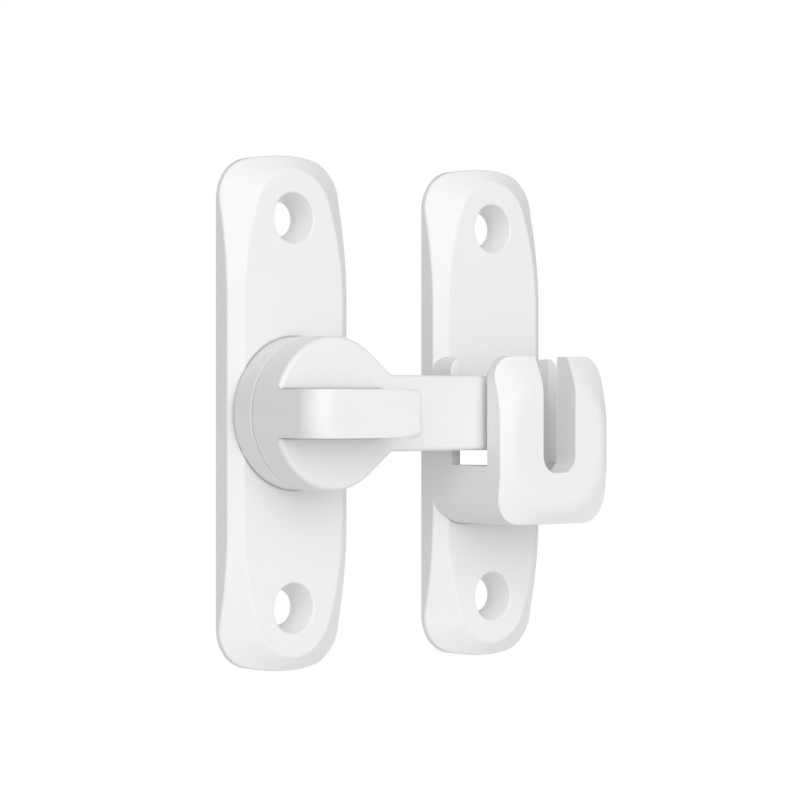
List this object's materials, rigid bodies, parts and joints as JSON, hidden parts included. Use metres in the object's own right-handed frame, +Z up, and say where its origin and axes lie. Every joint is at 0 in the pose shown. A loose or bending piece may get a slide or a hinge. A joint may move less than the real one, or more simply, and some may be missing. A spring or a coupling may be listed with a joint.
{
  "type": "door latch",
  "caption": "Flip-over door latch: a turning arm with a thumb rib on one screw-on plate drops into the slotted catch of a second plate.",
  "frame": {"origin": "on the arm's pivot axis, in the plane of the wall that both plates are screwed to; this is also the middle of the latch plate's screw holes", "axes": "+X from the latch plate to the strike plate, +Z up along the plates, -Y out of the wall towards the user"},
  "size_m": [0.0663, 0.023, 0.0792],
  "materials": {
    "painted_zinc": "smooth semi-gloss white powder coat on die-cast zinc",
    "bush_polymer": "natural low-friction polymer",
    "spring_steel": "bright spring steel",
    "plated_steel": "zinc-plated steel"
  },
  "bodies": {
    "plates": {"latch_plate": "painted_zinc", "strike_plate": "painted_zinc", "pivot_bush": "bush_polymer", "wave_washer": "spring_steel"},
    "arm": {"turn_arm": "painted_zinc", "retaining_washer": "plated_steel", "pivot_screw": "plated_steel"}
  },
  "joints": [
    {"name": "arm_turn", "type": "hinge", "parent": "plates", "child": "arm", "pos_m": [0, 0, 0], "axis": [0, -1, 0], "range_deg": [-3, 180]}
  ]
}
